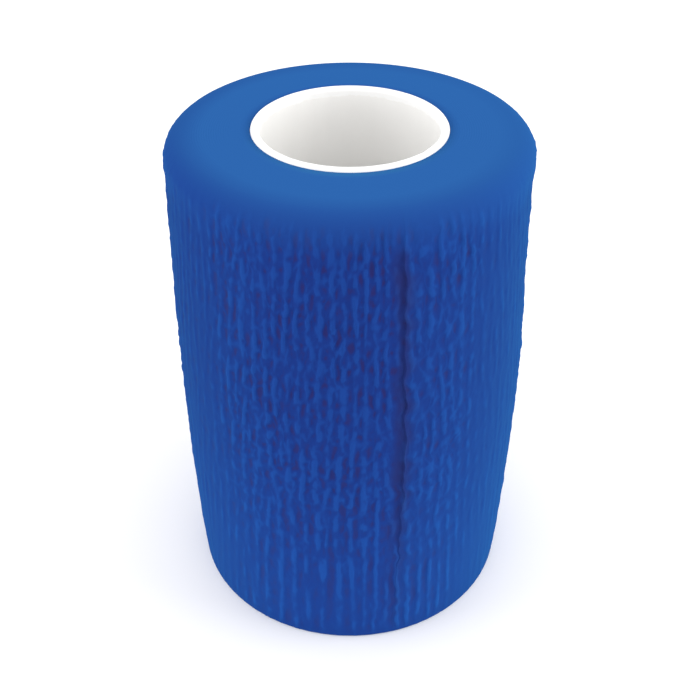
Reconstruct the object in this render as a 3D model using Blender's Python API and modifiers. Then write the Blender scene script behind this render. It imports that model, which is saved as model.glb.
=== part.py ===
"""A roll of sock tape: crepe bandage that clings to itself, wound on a thin white tube and stood on its end.

The tape is one wound body. Its outer turn runs round to a cut end that lies pressed on the turn below, so
the section is a spiral with one step. Upright crinkles of the crepe stand in the side as ribs.
"""

import math

import bpy
import numpy as np

# Tape roll, in metres. The roll is as tall as the tape is wide.
TAPE_WIDTH = 0.075
TAPE_THICKNESS = 0.0004
FOOT_RADIUS = 0.0250
TOP_RADIUS = 0.0249
BARREL_BULGE = 0.0009
BARREL_SKEW = 0.85
TOP_RIM_RADIUS = 0.0029
FOOT_RIM_RADIUS = 0.0004

# Core tube
CORE_RADIUS = 0.01335
CORE_WALL = 0.0010
CORE_PROUD = 0.0004
GAP = 0.0003

# Cut end of the tape, as an angle from +X seen from above, and the sunk strip beside it
LAP_ANGLE = math.radians(-73.5)
LAP_WANDER = 0.0003
LAP_EDGE_WIDTH = 0.0003
LAP_SINK = 0.0003
LAP_SINK_COLUMNS = 2
LAP_RUN_OUT = 0.012
LAP_REACH_COLUMNS = 7

# Crinkles: two columns of points make one rib and one furrow
RIB_COUNT = 94
RIB_DEPTH = 0.00040
RIB_STRAY = 0.00022
RIB_RUN = 0.014
RIB_WAVES = 18
RIB_FADE_TOP = 0.0035
RIB_FADE_FOOT = 0.0015
RIB_SEED = 7
COLUMNS = 2 * RIB_COUNT

# Fineness of the turned sections
SIDE_BANDS = 13
TOP_RIM_STEPS = 4
FOOT_RIM_STEPS = 2
CORE_STEPS = 48
CORE_LIP_STEPS = 4
MERGE = 0.00001


def clear_scene():
    """Empty the scene, so that the part is all that it holds."""
    for item in list(bpy.context.scene.objects):
        bpy.data.objects.remove(item, do_unlink=True)


def plain_material(name, colour, roughness):
    """A Principled material of one colour."""
    material = bpy.data.materials.new(name)
    material.use_nodes = True
    shader = material.node_tree.nodes["Principled BSDF"]
    shader.inputs["Base Color"].default_value = (*colour, 1.0)
    shader.inputs["Roughness"].default_value = roughness
    shader.inputs["Metallic"].default_value = 0.0
    return material


def arc(centre, radius, start, end, steps):
    """Points (radius, height) on an arc of the section, from one angle to another in degrees."""
    angles = np.radians(np.linspace(start, end, steps + 1))
    return [(centre[0] + radius * math.cos(a), centre[1] + radius * math.sin(a)) for a in angles]


def turned(name, section, steps, material, collection):
    """Turn a closed section of (radius, height) points a full turn about Z, and keep the mesh that it makes.

    The section runs down its outer side, so that the faces point outwards.
    """
    outline = bpy.data.meshes.new(name + "_section")
    count = len(section)
    outline.from_pydata([(r, 0.0, z) for r, z in section], [(i, (i + 1) % count) for i in range(count)], [])
    piece = bpy.data.objects.new(name, outline)
    collection.objects.link(piece)
    screw = piece.modifiers.new("Turn", "SCREW")
    screw.axis = "Z"
    screw.angle = 2 * math.pi
    screw.steps = steps
    screw.render_steps = steps
    screw.use_merge_vertices = True
    screw.merge_threshold = MERGE
    evaluated = piece.evaluated_get(bpy.context.evaluated_depsgraph_get())
    mesh = bpy.data.meshes.new_from_object(evaluated)
    piece.modifiers.clear()
    piece.data = mesh
    mesh.name = name
    bpy.data.meshes.remove(outline)
    mesh.materials.clear()
    mesh.materials.append(material)
    return piece


def side_radius(height):
    """The roll's radius at a height, before the lap and the ribs: a gentle barrel, widest below the middle."""
    share = min(max(height / TAPE_WIDTH, 0.0), 1.0)
    bulge = BARREL_BULGE * math.sin(math.pi * share**BARREL_SKEW)
    return FOOT_RADIUS + (TOP_RADIUS - FOOT_RADIUS) * share + bulge


def roll_section():
    """The wound tape's section: soft top rim, barrel side, tight foot rim, flat foot and the bore."""
    bore = CORE_RADIUS + GAP
    side_top = TAPE_WIDTH - TOP_RIM_RADIUS
    top_centre = (side_radius(side_top) - TOP_RIM_RADIUS, side_top)
    foot_centre = (side_radius(FOOT_RIM_RADIUS) - FOOT_RIM_RADIUS, FOOT_RIM_RADIUS)
    heights = np.linspace(side_top, FOOT_RIM_RADIUS, SIDE_BANDS + 1)[1:-1]
    top_rim = arc(top_centre, TOP_RIM_RADIUS, 90, 0, TOP_RIM_STEPS)
    side = [(side_radius(z), z) for z in heights]
    foot_rim = arc(foot_centre, FOOT_RIM_RADIUS, 0, -90, FOOT_RIM_STEPS)
    return top_rim + side + foot_rim + [(bore, 0.0), (bore, TAPE_WIDTH)]


def core_section():
    """The tube's section, with a rounded lip at the top and a square foot."""
    outer = CORE_RADIUS
    inner = CORE_RADIUS - CORE_WALL
    half = CORE_WALL / 2
    lip = arc((outer - half, TAPE_WIDTH + CORE_PROUD - half), half, 180, 0, CORE_LIP_STEPS)
    return lip + [(outer, 0.0), (inner, 0.0)]


def smooth_rise(value):
    """0 below 0, 1 above 1, and a smooth rise between them."""
    share = min(max(value, 0.0), 1.0)
    return share * share * (3 - 2 * share)


def rib_strength(waves, angle, height):
    """How strongly the ribs stand at a place: it drifts round the roll, and ribs change places where it is 0."""
    drift = sum(math.sin(turns * angle + rise * height + shift) for turns, rise, shift in waves)
    drift *= math.sqrt(2 / len(waves))
    fade = smooth_rise((TAPE_WIDTH - TOP_RIM_RADIUS / 2 - height) / RIB_FADE_TOP)
    fade *= smooth_rise((height - FOOT_RIM_RADIUS / 2) / RIB_FADE_FOOT)
    return math.copysign(min(1.0, math.sqrt(abs(drift))), drift) * fade


def drift_waves():
    """Whole numbers of waves round the roll, with their rise and shift, drawn with a fixed seed."""
    draw = np.random.default_rng(RIB_SEED)
    waves = []
    for _ in range(RIB_WAVES):
        turns = int(draw.integers(2, 16))
        rise = float(draw.uniform(-1.0, 1.0)) * 2 * math.pi / RIB_RUN
        shift = float(draw.uniform(0.0, 2 * math.pi))
        waves.append((turns, rise, shift))
    return waves


def lap_wander(height):
    """How far the cut end strays from upright, along the side, in metres."""
    share = height / TAPE_WIDTH * 2 * math.pi
    return LAP_WANDER * (0.6 * math.sin(1.5 * share) + 0.4 * math.sin(3.7 * share + 1.0))


def rib_stray(angle, height):
    """How far a rib leans away from upright, along the side, in metres."""
    return RIB_STRAY * math.sin(5 * angle + height / TAPE_WIDTH * 4 * math.pi)


def sink_share(height):
    """The share of its depth that the sunk strip has at a height: it runs out at both rims."""
    return smooth_rise((TAPE_WIDTH - height) / RIB_FADE_TOP) * smooth_rise(height / LAP_RUN_OUT)


def wind_side(piece):
    """Move the side's points onto the spiral: the lap's step and sunk strip, its stray edge, and the ribs."""
    waves = drift_waves()
    step = 2 * math.pi / COLUMNS
    bore = CORE_RADIUS + GAP
    for vertex in piece.data.vertices:
        radius = math.hypot(vertex.co.x, vertex.co.y)
        height = vertex.co.z
        turned_by = math.atan2(vertex.co.y, vertex.co.x) % (2 * math.pi)
        column = round(turned_by / step) % COLUMNS
        from_lap = min(column, COLUMNS - column)
        angle = LAP_ANGLE + column * step
        if radius > bore + MERGE:
            reach = math.cos(min(from_lap / LAP_REACH_COLUMNS, 1.0) * math.pi / 2) ** 2
            angle += (lap_wander(height) * reach + rib_stray(column * step, height) * (1 - reach)) / radius
            if column == COLUMNS - 1:
                angle += step - LAP_EDGE_WIDTH / radius
            radius += TAPE_THICKNESS * (0.5 - column / COLUMNS)
            side = 1 if column % 2 else -1
            strength = rib_strength(waves, column * step, height)
            radius += side * RIB_DEPTH / 2 * strength
            if COLUMNS - column <= LAP_SINK_COLUMNS:
                radius -= LAP_SINK * sink_share(height)
        vertex.co.x = radius * math.cos(angle)
        vertex.co.y = radius * math.sin(angle)
    piece.data.update()


def shade(piece, sharp_angle):
    """Shade round, with creases sharper than an angle in degrees kept crisp."""
    piece.data.shade_smooth()
    piece.data.set_sharp_from_angle(angle=math.radians(sharp_angle))


def build_core(collection):
    """The white tube in the middle of the roll."""
    white = plain_material("core_white", (0.88, 0.88, 0.86), 0.45)
    core = turned("core", core_section(), CORE_STEPS, white, collection)
    shade(core, 40)
    return core


def build_roll(collection):
    """The wound crepe tape, with its crinkled side and flat foot."""
    blue = plain_material("crepe_blue", (0.020, 0.083, 0.350), 0.85)
    roll = turned("wound_roll", roll_section(), COLUMNS, blue, collection)
    wind_side(roll)
    shade(roll, 30)
    return roll


def main():
    clear_scene()
    collection = bpy.data.collections.new("sock_tape_roll")
    bpy.context.scene.collection.children.link(collection)
    build_core(collection)
    build_roll(collection)


main()
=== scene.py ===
"""Looks of a sock tape roll: blue crepe tape wound on a white tube, standing on its end on a pale floor.

Lengths are in metres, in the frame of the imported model, with the floor at zero height.
"""

import math

import bpy
import numpy as np
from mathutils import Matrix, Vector


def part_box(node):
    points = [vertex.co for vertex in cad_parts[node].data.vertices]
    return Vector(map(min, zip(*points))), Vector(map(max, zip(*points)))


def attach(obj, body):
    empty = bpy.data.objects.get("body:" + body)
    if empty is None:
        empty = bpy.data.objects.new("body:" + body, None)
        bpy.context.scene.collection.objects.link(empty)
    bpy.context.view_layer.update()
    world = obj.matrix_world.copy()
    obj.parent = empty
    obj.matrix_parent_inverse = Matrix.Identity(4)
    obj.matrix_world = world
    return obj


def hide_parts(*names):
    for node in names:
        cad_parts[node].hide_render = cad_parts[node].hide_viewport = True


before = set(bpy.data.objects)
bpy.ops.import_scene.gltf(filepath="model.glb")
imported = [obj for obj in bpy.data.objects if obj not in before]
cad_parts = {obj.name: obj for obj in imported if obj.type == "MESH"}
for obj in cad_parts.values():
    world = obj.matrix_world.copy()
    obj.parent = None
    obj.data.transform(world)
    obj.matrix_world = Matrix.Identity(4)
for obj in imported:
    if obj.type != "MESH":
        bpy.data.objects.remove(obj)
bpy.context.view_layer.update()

FULL_TURN = 2 * math.pi
MERGE = 1e-6

# Sizes of the tape roll
TAPE_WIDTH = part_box("wound_roll")[1].z
SIDE_RADIUS_FOOT = 0.0250
SIDE_RADIUS_TOP = 0.0249
SIDE_RADIUS = (SIDE_RADIUS_TOP + SIDE_RADIUS_FOOT) / 2
BARREL_BULGE = 0.0009
BARREL_SKEW = 0.85
TOP_RIM_RADIUS = 0.0029
FOOT_RIM_RADIUS = 0.0004
TURN_PITCH = 0.00032

# Core tube, the unevenness of its wall, and the ragged edge of its inner ply
CORE_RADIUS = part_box("core")[1].x
CORE_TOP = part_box("core")[1].z
CORE_WALL = 0.0012
CORE_EASE = 0.00015
CORE_SEED = 3
LIP_ZONE = (CORE_TOP - 0.0012, CORE_TOP - 0.0004)
LIP_RAGGED = 0.00004
LIP_TURNS = 30
WALL_WAVY = 0.00003
WALL_TURNS = 6
WALL_RUN = 0.05
LINER_TOP = CORE_TOP - 0.0012
LINER_RAGGED = 0.0012
LINER_EDGE = 0.00004
BORE_RADIUS = CORE_RADIUS + 0.00003

# The cut end of the tape. Distances run along the side from its edge: above it is the outer turn
LAP_ANGLE = math.radians(-73.5)
LAP_ACROSS = (math.sin(LAP_ANGLE), -math.cos(LAP_ANGLE))
LAP_SQUEEZE = 0.72
LAP_SQUEEZE_REACH = 0.0011
LAP_LIFT = 0.00004
LAP_LIFT_REACH = 0.0007
LAP_LIFT_AT_FOOT = 0.35
LAP_SINK = 0.00007
LAP_SINK_WIDTH = 0.0019
LAP_TUCK = 0.00003
LAP_TUCK_REACH = 0.00012
LAP_STEP_AT_TOP = 0.1
STRIP_AT_FOOT = 0.25

# How the lap's edge strays from upright: a bow, a wander and small scallops, over a reach on either side
LAP_BOW = 0.0006
LAP_BOW_MIDDLE = 0.48
LAP_WANDER = 0.00013
LAP_WANDER_RUN = 0.009
LAP_SCALLOP = 0.00012
LAP_SCALLOP_RUN = 0.0035
LAP_STRAY_REACH = 0.004
LAP_UNEVEN_RUN = 0.011

# The lap's painted shadow: the shadow its edge casts on the outer turn, and the painted shade in the groove
# beside it
CAST_REACH = 0.0008
CAST_SHARE = 0.75
GROOVE_WIDTH = 0.0015
GROOVE_SHARE = 0.80
LAP_SHADOW_SHARE = 0.75

# How much the lap's unevenness and its scallops change each part of it
LIFT_UNEVEN = 0.5
STRIP_UNEVEN = 0.25
SINK_UNEVEN = 0.3
GROOVE_UNEVEN = 0.35
GROOVE_SCALLOP = 0.7
CAST_SCALLOP = 0.45

# How much weaker the crinkles are in the sunk strip and on the outer turn: in depth, in their painted furrow
# shade and crest highlight, and in the net
STRIP_DEPTH_LOSS = 0.4
STRIP_RELIEF_LOSS = 0.35
STRIP_NET_LOSS = 0.5
OUTER_FURROW_LOSS = 0.45
OUTER_NET_LOSS = 0.2

# Heights between which a thing comes in, as low and high. Those from the top are measured down from it
CRINKLES_FROM_TOP = (0.0002, 0.0036)
CRINKLES_FROM_FOOT = (-0.0008, 0.0030)
CRINKLES_FULL = (0.006, 0.030)
LAP_FROM_TOP = (0.0022, 0.0068)
LAP_FROM_FOOT = (0.0005, 0.004)
LAP_FULL = (0.012, 0.036)
LAP_PRESSED = (0.008, 0.035)
NET_FULL = (0.010, 0.036)
BEADS_FULL = (0.008, 0.034)
RIBS_UNDRAWN = (0.012, 0.036)

# The shares that those things have below their heights
CRINKLES_AT_FOOT = 0.88
LAP_AT_FOOT = 0.45
LAP_STEP_AT_FOOT = 0.08
NET_AT_FOOT = 0.45
BEADS_AT_FOOT = 0.55
RIB_RISE_AT_FOOT = 0.42

# Stretches of the side, as angles from the lap's edge: start, full, fading and end. The left ones run leftwards
CALM_LEFT = (0.84, 1.15, 1.50, 1.95)
CALM_RIGHT = (0.24, 0.50, 0.92, 1.28)
CALM_RIGHT_SHARE = 1.10
OUTER_TURN = (0.0, 0.03, 1.1, 2.6)
OUTER_LIFE = 0.05
TOP_TURN = (1.0, 1.9)
# The pale flanks are painted light, where the side lamps fall most; right of the lap the outer turn also starts
# a little paler in its own tone (PALE_AT_LAP)
FLANK_LIGHT_LEFT = (0.5, 1.2, 1.9, 2.7)
FLANK_LIGHT_LEFT_SHARE = 0.28
FLANK_LIGHT_RIGHT = (0.05, 1.0)
FLANK_LIGHT_RIGHT_END = (1.7, 2.6)
PALE_AT_LAP = 0.15

# A shallow dent in the roll's right flank, below the rim
FLANK_DENT = 0.00042
DENT_AROUND = (0.5, 1.1, 1.6, 2.4)
DENT_FROM_FOOT = (0.038, 0.056)
DENT_FROM_TOP = (0.0015, 0.0060)

# Ribs of the crepe: many upright waves added up
RIB_COUNT = 94
RIB_SPREAD = 13
RIB_WAVES = 56
RIB_RUN = 0.030
RIB_DEPTH = 0.00024
RIB_CREST = 1.9
RIB_LEVEL = 0.37
RIB_SOFTNESS = 0.25
RIB_FAN = 0.11
# On calm stretches the painted furrow shade and crest highlight fall to this share, the crinkles' depth only by
# RIB_CALM_DEPTH
RIB_CALM = 0.30
RIB_CALM_DEPTH = 0.45
RIB_SEED = 11
LEAN_DEPTH = 0.0055
LEAN_TURNS = 60
LEAN_RUN = 0.009
PATCH_DEPTH = 0.22
PATCH_TURNS = 9
PATCH_RUN = 0.05

# Beads and pits: the ribs' strength along their run, in rows that line up a little
BEAD_RUN = 0.0040
BEAD_TURNS = 80
BEAD_WAVES = 36
BEAD_MIDDLE = 0.80
BEAD_SWING = 1.05
BEAD_MOST = 1.9
BUMP_SHARE = 0.16
ROW_PITCH = 0.0030
ROW_SPREAD = 0.13
ROW_TURNS = 14
ROW_WAVES = 12
ROW_SHARE = 0.42
ROW_PIT_SHARE = 0.5
ROW_SEED = 5

# Fine crest lines between the ribs, a net of tall cells
NET_WIDTH = 0.0012
NET_HEIGHT = 0.0032
NET_CURL = 1.6
NET_SHARE = 0.26
NET_LINE = 0.30

# Where the ends' paler colour starts to go over into the side's, and how far it reaches
END_RADIUS = 0.0198
END_REACH = 0.0105
END_CURVE = 1.3
# On the left the ends' colour reaches less far down the side: painted shade on that part of the rim
END_SHORTER_IN_SHADE = 1.6
END_FULL_REACH = (-0.026, -0.008)
FOOT_FACE = (0.00005, 0.0004)
TOP_FACE = (TAPE_WIDTH - 0.0004, TAPE_WIDTH - 0.0001)
# Below the top rim the side is paler: painted light from above
RIM_LIGHT_HEIGHTS = (TAPE_WIDTH - 0.0075, TAPE_WIDTH - 0.0025)
RIM_LIGHT_SHARE = 0.40
# Low down the side is paler: painted light for the floor's bounce, weaker on the lit flanks
FLOOR_BOUNCE_HEIGHTS = (-0.004, 0.055)
BOUNCE_LOSS_ON_LIT_FLANKS = 0.45

# Crepe's finish: its noises, the relief that gives each colour (painted shade in the furrows, painted highlight
# on the crests), and its bump's distance and strength
CURL_SCALE = 520.0
MOTTLE_SCALE = 260.0
MOTTLE_SHARE = 0.25
FIBRE_SCALE = 5200.0
FIBRE_SHARE = 0.35
FIBRE_END_LOSS = 0.6
TURN_SHARE = 0.10
FURROW_RELIEF = (-0.36, 0.0)
CREST_RELIEF = (0.0, 0.5)
FURROW_SHADE_BOUNCE_LOSS = 0.55
FURROW_SHADE_FLANK_LOSS = 0.4
CREPE_BUMP = (0.00005, 0.6)

# The tube's finish: its noises, and its bump's distance and strength
CLOUD_SCALE = 180.0
GRAIN_SCALE = 2600.0
GRAIN_SHARE = 0.2
CUT_SCALE = 900.0
WALL_BUMP = (0.00006, 0.5)

# Fineness of the meshes
COLUMNS = 7 * RIB_COUNT
SIDE_ROWS = 118
TOP_RIM_STEPS = 8
FOOT_RIM_STEPS = 4
END_RINGS = 6
CORE_STEPS = 160
CORE_LIP_STEPS = 8
CORE_EASE_STEPS = 2
CORE_OUTER_RINGS = 12
CORE_INNER_RINGS = 24

# Colours, as linear light
# Paler crests and darker furrows are painted highlight and painted shade. All three side colours are darker
# than the ends' colour, partly as painted shade for the crinkles' self-shadowing
CREPE_LIT_CREST = (0.0118, 0.0490, 0.2580)
CREPE_MIDDLE = (0.0106, 0.0315, 0.1950)
CREPE_SHADED_FURROW = (0.0210, 0.0230, 0.1330)
# The lap's painted shadow
CREPE_LAP_SHADOW = (0.0205, 0.0240, 0.1180)
CREPE_END = (0.0190, 0.0915, 0.3170)
# Painted light from the floor's bounce on the lower side
FLOOR_BOUNCE_GAIN = (1.12, 1.42, 1.29)
# Painted light on the flanks, with the outer turn's paler tone
TONE_AND_FLANK_LIGHT_GAIN = (1.10, 1.63, 1.20)
CORE_WHITE = (0.95, 0.95, 0.95)
# The inner ply is greyer than the lip: partly its own paper, partly painted shade inside the bore
LINER_TONE_AND_SHADE = (0.92, 0.915, 0.90)
LINER_SHADE = (0.90, 0.89, 0.875)
FLOOR_WHITE = (0.97, 0.97, 0.97)

# Name, place, width, height, watts and colour of each soft light, aimed at the roll's middle
LIGHTS = (
    ("light_left", (-0.42, -0.06, 0.20), 0.30, 0.40, 0.70, (1.0, 1.0, 1.0)),
    ("light_right", (0.42, -0.06, 0.20), 0.30, 0.40, 0.95, (1.0, 1.0, 0.98)),
    ("light_over", (0.0, -0.02, 0.60), 0.50, 0.50, 0.30, (1.0, 1.0, 1.0)),
)
WORLD_LIGHT = 1.06
FLOOR_SIZE = 6.0

# Camera, fitted to the photograph's outline of the roll
CAMERA_DISTANCE = 2.148 * TAPE_WIDTH
CAMERA_ELEVATION = math.radians(36.82)
CAMERA_LENS = 53.42
CAMERA_SENSOR = 36.0
CAMERA_CLIP = 0.01
CAMERA_AIM = TAPE_WIDTH / 2 + 0.0002


# Shapes in general


def smooth_rise(value, low, high):
    """0 at low, 1 at high, with a smooth rise between them."""
    share = np.clip((value - low) / (high - low), 0.0, 1.0)
    return share * share * (3 - 2 * share)


def rise_and_fall(value, start, full, fading, end):
    """0 at start, 1 from full to fading, and 0 again at end."""
    return smooth_rise(value, start, full) * (1.0 - smooth_rise(value, fading, end))


def rise_from(share, value, low, high):
    """A given share at low, 1 at high, with a smooth rise between them."""
    return share + (1.0 - share) * smooth_rise(value, low, high)


def plateau(distance, width):
    """1 near 0, falling to 0 round a width, with a flat top."""
    return np.exp(-((distance / width) ** 4))


def arc(centre, radius, start, end, steps):
    """Points (radius, height) on an arc of a section, between two angles in degrees."""
    angles = np.radians(np.linspace(start, end, steps + 1))
    return [(centre[0] + radius * math.cos(a), centre[1] + radius * math.sin(a)) for a in angles]


def straight(start, end, steps):
    """The points between two section points, without the two."""
    shares = np.linspace(0.0, 1.0, steps + 1)[1:-1]
    return [(start[0] + (end[0] - start[0]) * s, start[1] + (end[1] - start[1]) * s) for s in shares]


def deselect_all():
    bpy.ops.object.select_all(action="DESELECT")


def turned(name, section, steps):
    """Lay a ring of vertices on a closed section, turn it a full turn about Z and close the seam."""
    deselect_all()
    bpy.ops.mesh.primitive_circle_add(vertices=len(section), radius=CORE_RADIUS, fill_type="NOTHING")
    piece = bpy.context.object
    piece.name = name
    piece.data.name = name
    for vertex, (radius, height) in zip(piece.data.vertices, section):
        vertex.co = (radius, 0.0, height)
    bpy.ops.object.modifier_add(type="SCREW")
    turn = piece.modifiers[-1]
    turn.axis = "Z"
    turn.steps = steps
    turn.render_steps = steps
    turn.use_merge_vertices = True
    turn.merge_threshold = MERGE
    bpy.ops.object.modifier_apply(modifier=turn.name)
    bpy.ops.object.mode_set(mode="EDIT")
    bpy.ops.mesh.select_all(action="SELECT")
    bpy.ops.mesh.remove_doubles(threshold=MERGE)
    bpy.ops.mesh.normals_make_consistent(inside=False)
    bpy.ops.object.mode_set(mode="OBJECT")
    bpy.ops.object.shade_smooth()
    return piece


def points_of(piece):
    """The piece's vertices as an array of x, y, z."""
    flat = np.zeros(len(piece.data.vertices) * 3)
    piece.data.vertices.foreach_get("co", flat)
    return flat.reshape(-1, 3)


def set_points(piece, points):
    piece.data.vertices.foreach_set("co", points.astype(np.float32).ravel())
    piece.data.update()


def set_attribute(piece, name, values):
    """Keep a number for each vertex, which the material reads."""
    layer = piece.data.attributes.new(name, "FLOAT", "POINT")
    layer.data.foreach_set("value", values.astype(np.float32))


def drift(draw, angle, height, turns, run, waves=12):
    """A slow unevenness over the side, about from -1 to 1, with a few swells round the roll."""
    total = np.zeros(len(height))
    for _ in range(waves):
        count = draw.integers(1, turns + 1)
        rise = draw.normal(0.0, FULL_TURN / run)
        total += np.sin(count * angle + rise * height + draw.uniform(0.0, FULL_TURN))
    return total / math.sqrt(waves)


# Wound crepe tape


def side_radius(height):
    """The roll's radius at a height: a gentle barrel, widest below the middle."""
    share = height / TAPE_WIDTH
    bulge = BARREL_BULGE * math.sin(math.pi * share**BARREL_SKEW)
    return SIDE_RADIUS_FOOT + (SIDE_RADIUS_TOP - SIDE_RADIUS_FOOT) * share + bulge


def roll_section():
    """The wound tape's section: top face, soft rim, barrel side, tight foot rim, foot and bore."""
    side_top = TAPE_WIDTH - TOP_RIM_RADIUS
    top_centre = (side_radius(side_top) - TOP_RIM_RADIUS, side_top)
    foot_centre = (side_radius(FOOT_RIM_RADIUS) - FOOT_RIM_RADIUS, FOOT_RIM_RADIUS)
    top_rim = arc(top_centre, TOP_RIM_RADIUS, 90, 0, TOP_RIM_STEPS)
    foot_rim = arc(foot_centre, FOOT_RIM_RADIUS, 0, -90, FOOT_RIM_STEPS)
    heights = np.linspace(side_top, FOOT_RIM_RADIUS, SIDE_ROWS + 1)[1:-1]
    bore_top = (BORE_RADIUS, TAPE_WIDTH)
    bore_foot = (BORE_RADIUS, 0.0)
    return (
        [bore_top] + straight(bore_top, top_rim[0], END_RINGS) + top_rim
        + [(side_radius(z), z) for z in heights]
        + foot_rim + straight(foot_rim[-1], bore_foot, END_RINGS // 2) + [bore_foot]
    )


def draw_waves(draw):
    """Upright waves that add up to crinkles: ribs round the roll, their rise and their start."""
    turns = np.rint(draw.normal(RIB_COUNT, RIB_SPREAD, RIB_WAVES))
    rises = draw.normal(0.0, FULL_TURN / RIB_RUN, RIB_WAVES)
    starts = draw.uniform(0.0, FULL_TURN, RIB_WAVES)
    return list(zip(turns, rises, starts))


def level_rows(angle, height):
    """Swells that run level round the roll, a row pitch apart, about from -1 to 1."""
    draw = np.random.default_rng(ROW_SEED)
    total = np.zeros(len(height))
    for _ in range(ROW_WAVES):
        count = draw.integers(-ROW_TURNS, ROW_TURNS + 1)
        rise = FULL_TURN / ROW_PITCH * draw.normal(1.0, ROW_SPREAD)
        total += np.sin(count * angle + rise * height + draw.uniform(0.0, FULL_TURN))
    return total / math.sqrt(ROW_WAVES)


def drawn_out(height):
    """Heights that rise more slowly near the foot, so that crinkles drawn over them come out longer there."""
    steps = np.linspace(-0.002, TAPE_WIDTH + 0.002, 400)
    drawn = np.cumsum(rise_from(RIB_RISE_AT_FOOT, steps, *RIBS_UNDRAWN)) * (steps[1] - steps[0])
    return np.interp(height, steps, drawn - drawn[-1] + TAPE_WIDTH)


def bead_strength(draw, angle, height, even, rows):
    """How strongly a rib or a furrow stands at each point: it comes and goes along its run."""
    swing = drift(draw, angle, height, BEAD_TURNS, BEAD_RUN, BEAD_WAVES) + rows
    return np.clip(BEAD_MIDDLE + BEAD_SWING * even * swing, 0.0, BEAD_MOST)


def crinkles(draw, angle, height):
    """The crepe's relief at each point, above and below its middle level: short beads in upright columns."""
    even = rise_from(BEADS_AT_FOOT, height, *BEADS_FULL)
    height = drawn_out(height)
    lean = LEAN_DEPTH * even * drift(draw, angle, height, LEAN_TURNS, LEAN_RUN)
    total = np.zeros(len(height), complex)
    for turns, rise, start in draw_waves(draw):
        total += np.exp(1j * (turns * (angle + lean) + rise * height + start))
    total /= math.sqrt(RIB_WAVES)
    swell = np.abs(total)
    wave = (0.5 + 0.5 * np.cos(np.angle(total)))**RIB_CREST - RIB_LEVEL
    rows = ROW_SHARE * level_rows(angle, height)
    beads = bead_strength(draw, angle, height, even, rows)
    pits = bead_strength(draw, angle, height, even, -ROW_PIT_SHARE * rows)
    bumps = BUMP_SHARE * even * drift(draw, angle, height, 2 * BEAD_TURNS, BEAD_RUN / 2, BEAD_WAVES)
    return np.where(wave > 0.0, beads, pits) * wave * swell / (swell + RIB_SOFTNESS) + bumps


def squeezed(along):
    """Distances along the side, with the columns of points drawn together at the lap's edge."""
    return along * (1.0 - LAP_SQUEEZE * np.exp(-((along / LAP_SQUEEZE_REACH) ** 2)))


def flank_dent(signed, height):
    """How deep the dent in the right flank is at each point."""
    around = FLANK_DENT * rise_and_fall(signed, *DENT_AROUND)
    return around * smooth_rise(height, *DENT_FROM_FOOT) * smooth_rise(TAPE_WIDTH - height, *DENT_FROM_TOP)


def tone_and_flank_light_share(signed, on_top):
    """How pale the crepe is at each point: painted light, most on the right flank and a little on the left, and
    right of the lap the outer turn's own paler tone.
    """
    right = np.where(on_top, rise_from(PALE_AT_LAP, signed, *FLANK_LIGHT_RIGHT), 0.0)
    right *= 1.0 - smooth_rise(signed, *FLANK_LIGHT_RIGHT_END)
    return right + FLANK_LIGHT_LEFT_SHARE * rise_and_fall(-signed, *FLANK_LIGHT_LEFT)


def lap_shadow_share(above, below, on_top, uneven, scallop, foot_fade):
    """How dark the lap's painted shadow is at each point: the edge's cast shadow above it, the shade in the
    groove below it.
    """
    reach = CAST_REACH * (1.0 + CAST_SCALLOP * np.clip(scallop, -1, 1))
    cast = CAST_SHARE * np.exp(-((above / reach) ** 2))
    groove = plateau(below, GROOVE_WIDTH * (1.0 + GROOVE_UNEVEN * uneven))
    groove *= STRIP_AT_FOOT + (1.0 - STRIP_AT_FOOT) * foot_fade
    groove *= GROOVE_SHARE + (1.0 - GROOVE_SHARE) * np.clip(uneven + GROOVE_SCALLOP * scallop, -1, 1)
    return np.where(on_top, cast, groove)


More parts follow.
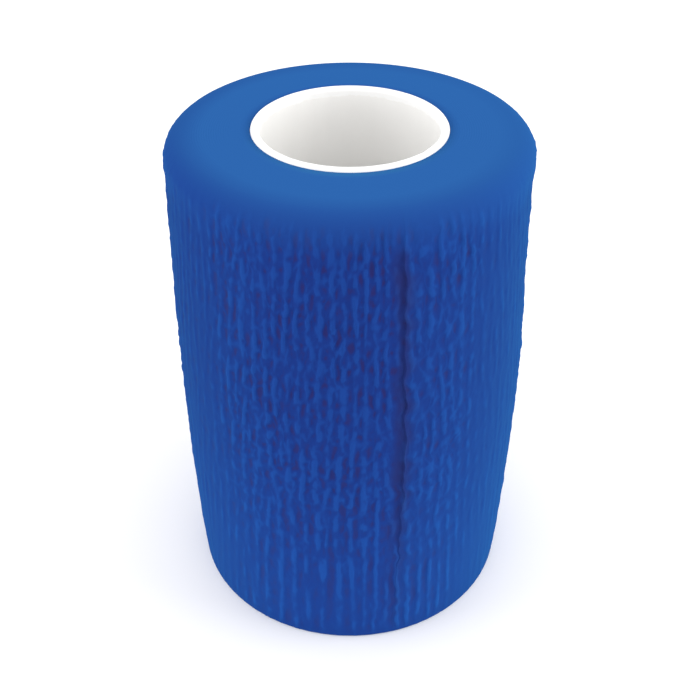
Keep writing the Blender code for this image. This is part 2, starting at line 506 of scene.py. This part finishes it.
def wind_tape(piece):
    """Move the turned shape's points onto the wound tape: the lap, its sunk strip and the crinkles."""
    draw = np.random.default_rng(RIB_SEED)
    points = points_of(piece)
    radius = np.hypot(points[:, 0], points[:, 1])
    height = points[:, 2].copy()
    turned_by = np.mod(np.arctan2(points[:, 1], points[:, 0]), FULL_TURN)
    turned_by = np.where(turned_by > FULL_TURN - 1e-4, 0.0, turned_by)
    signed = np.where(turned_by > math.pi, turned_by - FULL_TURN, turned_by)
    side_share = smooth_rise(radius, BORE_RADIUS, SIDE_RADIUS_TOP - TOP_RIM_RADIUS)
    from_top = TAPE_WIDTH - height

    along = squeezed(signed * SIDE_RADIUS)
    below = np.clip(-along, 0.0, None)
    above = np.clip(along, 0.0, None)
    on_top = along >= -1e-7

    # All random draws, in a fixed order
    fan = RIB_FAN * np.cos(LAP_ANGLE + signed) * (height - TAPE_WIDTH / 2)
    relief = crinkles(draw, (along + fan) / SIDE_RADIUS, height)
    patch = 1.0 + PATCH_DEPTH * drift(draw, signed, height, PATCH_TURNS, PATCH_RUN)
    uneven = drift(draw, 0.0, height, 1, LAP_UNEVEN_RUN)
    wander = drift(draw, 0.0, height, 1, LAP_WANDER_RUN)
    scallop = drift(draw, 0.0, height, 1, LAP_SCALLOP_RUN)

    # Where the crinkles are strong and where they lie calm
    calm = rise_and_fall(-signed, *CALM_LEFT) + CALM_RIGHT_SHARE * rise_and_fall(signed, *CALM_RIGHT)
    liveliness = 1.0 - (1.0 - RIB_CALM) * calm
    stretch = (1.0 + OUTER_LIFE * rise_and_fall(signed, *OUTER_TURN)) * liveliness
    # The depth undoes the liveliness, so that calm weakens the painted furrow shade and crest highlight more
    # than the relief
    depth = RIB_DEPTH * (1.0 - RIB_CALM_DEPTH * calm) / liveliness
    fade = smooth_rise(from_top, *CRINKLES_FROM_TOP) * smooth_rise(height, *CRINKLES_FROM_FOOT)
    fade *= rise_from(CRINKLES_AT_FOOT, height, *CRINKLES_FULL)
    relief = relief * patch * stretch * fade

    # The lap: its step, its lifted edge, and the sunk strip beside it
    lap_fade = smooth_rise(from_top, *LAP_FROM_TOP)
    foot_fade = LAP_AT_FOOT * smooth_rise(height, *LAP_FROM_FOOT)
    foot_fade += (1.0 - LAP_AT_FOOT) * smooth_rise(height, *LAP_FULL)
    pressed = rise_from(LAP_STEP_AT_FOOT, height, *LAP_PRESSED)
    step = LAP_STEP_AT_TOP + (1.0 - LAP_STEP_AT_TOP) * lap_fade
    winding = TURN_PITCH * (0.5 - turned_by / FULL_TURN) * step * pressed
    lift = LAP_LIFT * np.exp(-above / LAP_LIFT_REACH) * on_top * (1.0 + LIFT_UNEVEN * uneven) * pressed
    lift *= LAP_LIFT_AT_FOOT + (1.0 - LAP_LIFT_AT_FOOT) * foot_fade
    strip = np.where(on_top, 0.0, plateau(below, LAP_SINK_WIDTH * (1.0 + STRIP_UNEVEN * uneven)))
    strip *= STRIP_AT_FOOT + (1.0 - STRIP_AT_FOOT) * foot_fade
    sink = LAP_SINK * strip * (1.0 + SINK_UNEVEN * uneven) * foot_fade
    radial = depth * relief * (1.0 - STRIP_DEPTH_LOSS * strip) + winding + (lift - sink) * lap_fade
    radial -= flank_dent(signed, height)

    # The lap's edge strays from upright
    tuck = np.where(on_top, 0.0, LAP_TUCK * np.exp(-below / LAP_TUCK_REACH)) * lap_fade * foot_fade
    stray = LAP_BOW * (np.cos((height / TAPE_WIDTH - LAP_BOW_MIDDLE) * FULL_TURN) - 1.0) / 2
    stray += LAP_WANDER * wander + LAP_SCALLOP * scallop * lap_fade
    stray *= np.exp(-((along / LAP_STRAY_REACH) ** 2))

    new_radius = radius + radial * side_share
    new_angle = LAP_ANGLE + (along + (tuck + stray) * side_share) / SIDE_RADIUS
    points[:, 0] = new_radius * np.cos(new_angle)
    points[:, 1] = new_radius * np.sin(new_angle)
    set_points(piece, points)

    # Numbers for the material: the relief, which picks the painted furrow shade and crest highlight, the net's
    # life, the pale share (the outer turn's tone and the flanks' painted light) and the lap's painted shadow
    top_turn = on_top * (1.0 - smooth_rise(signed, *TOP_TURN))
    relief = np.where(relief < 0.0, relief * (1.0 - OUTER_FURROW_LOSS * top_turn), relief)
    relief *= 1.0 - STRIP_RELIEF_LOSS * strip
    life = stretch * fade * (1.0 - STRIP_NET_LOSS * strip) * (1.0 - OUTER_NET_LOSS * top_turn)
    lap_shadow = lap_shadow_share(above, below, on_top, uneven, scallop, foot_fade) * lap_fade * foot_fade
    set_attribute(piece, "relief", np.clip(relief, -RIB_LEVEL, 1.0 - RIB_LEVEL))
    set_attribute(piece, "life", life * rise_from(NET_AT_FOOT, height, *NET_FULL))
    # pale: the outer turn's own tone and the painted light on the flanks
    set_attribute(piece, "pale", tone_and_flank_light_share(signed, on_top))
    set_attribute(piece, "lap_shadow", np.clip(lap_shadow, 0.0, 1.0))


def make_roll():
    roll = turned("crepe_roll", roll_section(), COLUMNS)
    wind_tape(roll)
    return roll


# Core tube


def core_section():
    """The tube's section: rounded lip at the top, eased edges at the foot."""
    inner = CORE_RADIUS - CORE_WALL
    half = CORE_WALL / 2
    lip = arc((CORE_RADIUS - half, CORE_TOP - half), half, 180, 0, CORE_LIP_STEPS)
    outer_foot = arc((CORE_RADIUS - CORE_EASE, CORE_EASE), CORE_EASE, 0, -90, CORE_EASE_STEPS)
    inner_foot = arc((inner + CORE_EASE, CORE_EASE), CORE_EASE, -90, -180, CORE_EASE_STEPS)
    outer_side = straight(lip[-1], outer_foot[0], CORE_OUTER_RINGS)
    inner_side = straight(inner_foot[-1], lip[0], CORE_INNER_RINGS)
    return lip + outer_side + outer_foot + inner_foot + inner_side


def make_core():
    """The tube, with a slightly uneven inner wall and lip."""
    core = turned("core_tube", core_section(), CORE_STEPS)
    draw = np.random.default_rng(CORE_SEED)
    points = points_of(core)
    radius = np.hypot(points[:, 0], points[:, 1])
    angle = np.arctan2(points[:, 1], points[:, 0])
    height = points[:, 2]
    inner = smooth_rise(CORE_RADIUS - CORE_WALL / 2 - radius, 0.0, CORE_WALL / 2)
    ragged = LIP_RAGGED * drift(draw, angle, height, LIP_TURNS, WALL_RUN) * smooth_rise(height, *LIP_ZONE)
    wavy = WALL_WAVY * drift(draw, angle, height, WALL_TURNS, WALL_RUN)
    grown = (radius + (ragged + wavy) * inner) / radius
    points[:, 0] *= grown
    points[:, 1] *= grown
    set_points(core, points)
    return core


# Materials


class Value:
    """A number that varies over a surface: one socket, with the sums that a material needs."""

    def __init__(self, finish, socket):
        self.finish = finish
        self.socket = socket

    def __add__(self, other):
        return self.finish.maths("ADD", self, other)

    def __sub__(self, other):
        return self.finish.maths("SUBTRACT", self, other)

    def __mul__(self, other):
        return self.finish.maths("MULTIPLY", self, other)

    def __pow__(self, other):
        return self.finish.maths("POWER", self, other)

    def __radd__(self, other):
        return self.finish.maths("ADD", other, self)

    def __rsub__(self, other):
        return self.finish.maths("SUBTRACT", other, self)

    def __rmul__(self, other):
        return self.finish.maths("MULTIPLY", other, self)


class Finish:
    """A piece's material, with one method that adds any node."""

    def __init__(self, name, roughness, **constants):
        self.material = bpy.data.materials.new(name)
        self.material.use_nodes = True
        self.tree = self.material.node_tree
        self.shader = self.tree.nodes["Principled BSDF"]
        self.shader.inputs["Roughness"].default_value = roughness
        for socket, value in constants.items():
            self.shader.inputs[socket.replace("_", " ")].default_value = value

    def node(self, kind, settings, inputs):
        """Add a node: its settings first, then the values or links of its sockets."""
        made = self.tree.nodes.new(kind)
        for name, value in settings.items():
            setattr(made, name, value)
        for name, value in inputs.items():
            self.feed(made.inputs[name], value)
        return made

    def feed(self, socket, value):
        """Link a value or a socket, or set a constant."""
        if isinstance(value, Value):
            self.tree.links.new(value.socket, socket)
        elif isinstance(value, bpy.types.NodeSocket):
            self.tree.links.new(value, socket)
        else:
            socket.default_value = value

    def maths(self, operation, first, second=0.0):
        made = self.node("ShaderNodeMath", {"operation": operation}, {0: first, 1: second})
        return Value(self, made.outputs[0])

    def attribute(self, name):
        made = self.node("ShaderNodeAttribute", {"attribute_name": name}, {})
        return Value(self, made.outputs["Fac"])

    def place(self):
        """The point's own place on the piece, as a vector and as its three numbers."""
        where = self.node("ShaderNodeTexCoord", {}, {}).outputs["Object"]
        parts = self.node("ShaderNodeSeparateXYZ", {}, {"Vector": where})
        return where, [Value(self, parts.outputs[letter]) for letter in "XYZ"]

    def noise(self, where, stretch, scale, detail=3.0):
        """Noise from 0 to 1, drawn out along the axes by stretch."""
        moved = self.node("ShaderNodeMapping", {}, {"Vector": where, "Scale": stretch})
        made = self.node("ShaderNodeTexNoise", {}, {
            "Vector": moved.outputs["Vector"], "Scale": scale, "Detail": detail, "Roughness": 0.55,
        })
        return Value(self, made.outputs[0])

    def net(self, across, up):
        """1 on the lines of an uneven net, falling to 0 inside its cells."""
        spot = self.node("ShaderNodeCombineXYZ", {}, {"X": across, "Y": up})
        made = self.node("ShaderNodeTexVoronoi", {"voronoi_dimensions": "2D", "feature": "DISTANCE_TO_EDGE"}, {
            "Vector": spot.outputs["Vector"], "Scale": 1.0, "Randomness": 0.85,
        })
        return 1.0 - self.rise(Value(self, made.outputs["Distance"]), 0.0, NET_LINE)

    def rise(self, value, low, high, kind="SMOOTHSTEP"):
        """0 at low, 1 at high, with a rise between them."""
        made = self.node("ShaderNodeMapRange", {"interpolation_type": kind}, {
            "Value": value, "From Min": low, "From Max": high, "To Min": 0.0, "To Max": 1.0,
        })
        return Value(self, made.outputs["Result"])

    def mix(self, share, first, second, blend="MIX"):
        """A colour between two colours, or a colour times another."""
        made = self.node("ShaderNodeMix", {"data_type": "RGBA", "blend_type": blend}, {
            0: share, 6: first if isinstance(first, bpy.types.NodeSocket) else (*first, 1.0),
            7: second if isinstance(second, bpy.types.NodeSocket) else (*second, 1.0),
        })
        return made.outputs[2]

    def bump(self, height, distance, strength):
        made = self.node("ShaderNodeBump", {}, {"Height": height, "Distance": distance, "Strength": strength})
        self.feed(self.shader.inputs["Normal"], made.outputs["Normal"])

    def wear(self, piece):
        piece.data.materials.clear()
        piece.data.materials.append(self.material)


def crepe_finish():
    """Blue crepe: darker in its furrows and paler on its crests as painted shade and painted highlight, paler
    on the trimmed ends, with fine fibres. It also carries painted light on the flanks, below the top rim and
    low down, and the lap's painted shadow.
    """
    crepe = Finish(
        "blue_crepe", 0.9, Specular_IOR_Level=0.0,
        Sheen_Weight=0.08, Sheen_Roughness=0.45, Sheen_Tint=(0.15, 0.85, 1.0, 1.0),
    )
    where, (x, y, z) = crepe.place()
    radius = crepe.maths("SQRT", x * x + y * y)
    across, along = LAP_ACROSS
    around = crepe.maths("ARCTAN2", x * across + y * along, x * along - y * across)
    # pale carries the outer turn's tone and the flanks' painted light
    pale = crepe.attribute("pale")
    lap_shadow = crepe.attribute("lap_shadow")

    # The net's lines, and the height that picks the colour: painted shade in the furrows, painted highlight on
    # the crests and the net's lines
    curl = (crepe.noise(where, (1.0, 1.0, 0.8), CURL_SCALE, 1.0) - 0.5) * NET_CURL
    net = crepe.net(around * (SIDE_RADIUS_FOOT / NET_WIDTH) + curl, z * (1.0 / NET_HEIGHT))
    net = net * crepe.attribute("life")
    mottle = crepe.noise(where, (1.0, 1.0, 0.4), MOTTLE_SCALE)
    height = crepe.attribute("relief") + (mottle - 0.5) * MOTTLE_SHARE + net * NET_SHARE

    # Shares of the ends, the foot's face, the lower side's painted bounce light and the painted light below the
    # top rim
    from_end = radius - END_RADIUS + (TAPE_WIDTH - z)
    # Painted shade on the left of the rim: the ends' colour reaches less far there
    from_end = from_end * (END_SHORTER_IN_SHADE - (END_SHORTER_IN_SHADE - 1.0) * crepe.rise(x, *END_FULL_REACH))
    end = (1.0 - crepe.rise(from_end, 0.0, END_REACH, "LINEAR")) ** END_CURVE
    foot = 1.0 - crepe.rise(z, *FOOT_FACE)
    end = crepe.maths("MAXIMUM", end, foot)
    # Painted light from the floor's bounce, low on the side
    low = (1.0 - crepe.rise(z, *FLOOR_BOUNCE_HEIGHTS)) * (1.0 - pale * BOUNCE_LOSS_ON_LIT_FLANKS)
    rim_light = crepe.rise(z, *RIM_LIGHT_HEIGHTS) * RIM_LIGHT_SHARE
    # Painted shade in the furrows, weaker low down and on the lit flanks, then painted highlight on the crests
    furrow = 1.0 - crepe.rise(height, *FURROW_RELIEF)
    furrow = furrow * (1.0 - low * FURROW_SHADE_BOUNCE_LOSS) * (1.0 - pale * FURROW_SHADE_FLANK_LOSS)

    colour = crepe.mix(furrow, CREPE_MIDDLE, CREPE_SHADED_FURROW)
    colour = crepe.mix(crepe.rise(height, *CREST_RELIEF), colour, CREPE_LIT_CREST)
    # Painted light below the top rim, in the crests' paler colour
    colour = crepe.mix(rim_light, colour, CREPE_LIT_CREST)
    colour = crepe.mix(low, colour, FLOOR_BOUNCE_GAIN, "MULTIPLY")
    # Painted light on the flanks, with the outer turn's paler tone
    colour = crepe.mix(pale, colour, TONE_AND_FLANK_LIGHT_GAIN, "MULTIPLY")
    # The lap's painted shadow
    colour = crepe.mix(lap_shadow * LAP_SHADOW_SHARE, colour, CREPE_LAP_SHADOW)
    colour = crepe.mix(end, colour, CREPE_END)
    crepe.feed(crepe.shader.inputs["Base Color"], colour)

    # Fibres, the turns on the flat ends, and the net
    fibre = crepe.noise(where, (1.0, 1.0, 0.25), FIBRE_SCALE, 2.0)
    turn = crepe.maths("SINE", radius * (FULL_TURN / TURN_PITCH) - around)
    flat = crepe.rise(z, *TOP_FACE) + foot
    fibre = fibre * FIBRE_SHARE * (1.0 - end * FIBRE_END_LOSS)
    crepe.bump(fibre + turn * flat * TURN_SHARE + net, *CREPE_BUMP)
    return crepe


def core_finish():
    """White tube wall, smooth, with a faint paper grain and the ragged edge of its inner ply, whose greyer
    colour is partly its own and partly painted shade inside the bore.
    """
    paper = Finish("core_white", 0.48)
    where, (x, y, z) = paper.place()
    cloud = paper.noise(where, (1.0, 1.0, 1.0), CLOUD_SCALE)
    grain = paper.noise(where, (1.0, 1.0, 0.3), GRAIN_SCALE)
    cut = paper.noise(where, (1.0, 1.0, 0.2), CUT_SCALE, 5.0)
    radius = paper.maths("SQRT", x * x + y * y)
    inside = 1.0 - paper.rise(radius, CORE_RADIUS - CORE_WALL * 0.7, CORE_RADIUS - CORE_WALL * 0.5)
    below = 1.0 - paper.rise(z + (cut - 0.5) * LINER_RAGGED, LINER_TOP - LINER_EDGE, LINER_TOP + LINER_EDGE)
    # The inner ply's colour, partly painted shade inside the bore
    ply_and_bore_shade = inside * below
    colour = paper.mix(ply_and_bore_shade, CORE_WHITE, paper.mix(cloud, LINER_SHADE, LINER_TONE_AND_SHADE))
    paper.feed(paper.shader.inputs["Base Color"], colour)
    paper.bump(grain * GRAIN_SHARE + ply_and_bore_shade, *WALL_BUMP)
    return paper


# Floor, light and camera


def make_floor():
    deselect_all()
    bpy.ops.mesh.primitive_plane_add(size=FLOOR_SIZE, location=(0.0, 0.0, 0.0))
    floor = bpy.context.object
    floor.name = "floor"
    pale = Finish("floor_white", 0.9, Specular_IOR_Level=0.0, Base_Color=(*FLOOR_WHITE, 1.0))
    pale.wear(floor)


def light_scene():
    """Soft lights on both sides and above, in an even white studio."""
    middle = Vector((0.0, 0.0, TAPE_WIDTH / 2))
    for name, place, width, height, watts, colour in LIGHTS:
        deselect_all()
        facing = (middle - Vector(place)).to_track_quat("-Z", "Y").to_euler()
        bpy.ops.object.light_add(type="AREA", location=place, rotation=facing)
        lamp = bpy.context.object
        lamp.name = name
        lamp.data.shape = "RECTANGLE"
        lamp.data.size = width
        lamp.data.size_y = height
        lamp.data.energy = watts
        lamp.data.color = colour
    world = bpy.data.worlds.new("studio")
    world.use_nodes = True
    backdrop = world.node_tree.nodes["Background"]
    backdrop.inputs["Color"].default_value = (1.0, 1.0, 1.0, 1.0)
    backdrop.inputs["Strength"].default_value = WORLD_LIGHT
    bpy.context.scene.world = world
    bpy.context.scene.view_settings.view_transform = "Standard"


def add_camera():
    """The photograph's view: from in front and above, close to the roll."""
    out = CAMERA_DISTANCE * math.cos(CAMERA_ELEVATION)
    up = CAMERA_DISTANCE * math.sin(CAMERA_ELEVATION)
    deselect_all()
    bpy.ops.object.camera_add(
        location=(0.0, -out, CAMERA_AIM + up),
        rotation=(math.pi / 2 - CAMERA_ELEVATION, 0.0, 0.0),
    )
    camera = bpy.context.object
    camera.name = "camera"
    camera.data.lens = CAMERA_LENS
    camera.data.sensor_width = CAMERA_SENSOR
    camera.data.clip_start = CAMERA_CLIP
    bpy.context.scene.camera = camera


add_camera()
light_scene()
make_floor()

roll = make_roll()
crepe_finish().wear(roll)
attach(roll, "root")
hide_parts("wound_roll")

core = make_core()
core_finish().wear(core)
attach(core, "root")
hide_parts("core")
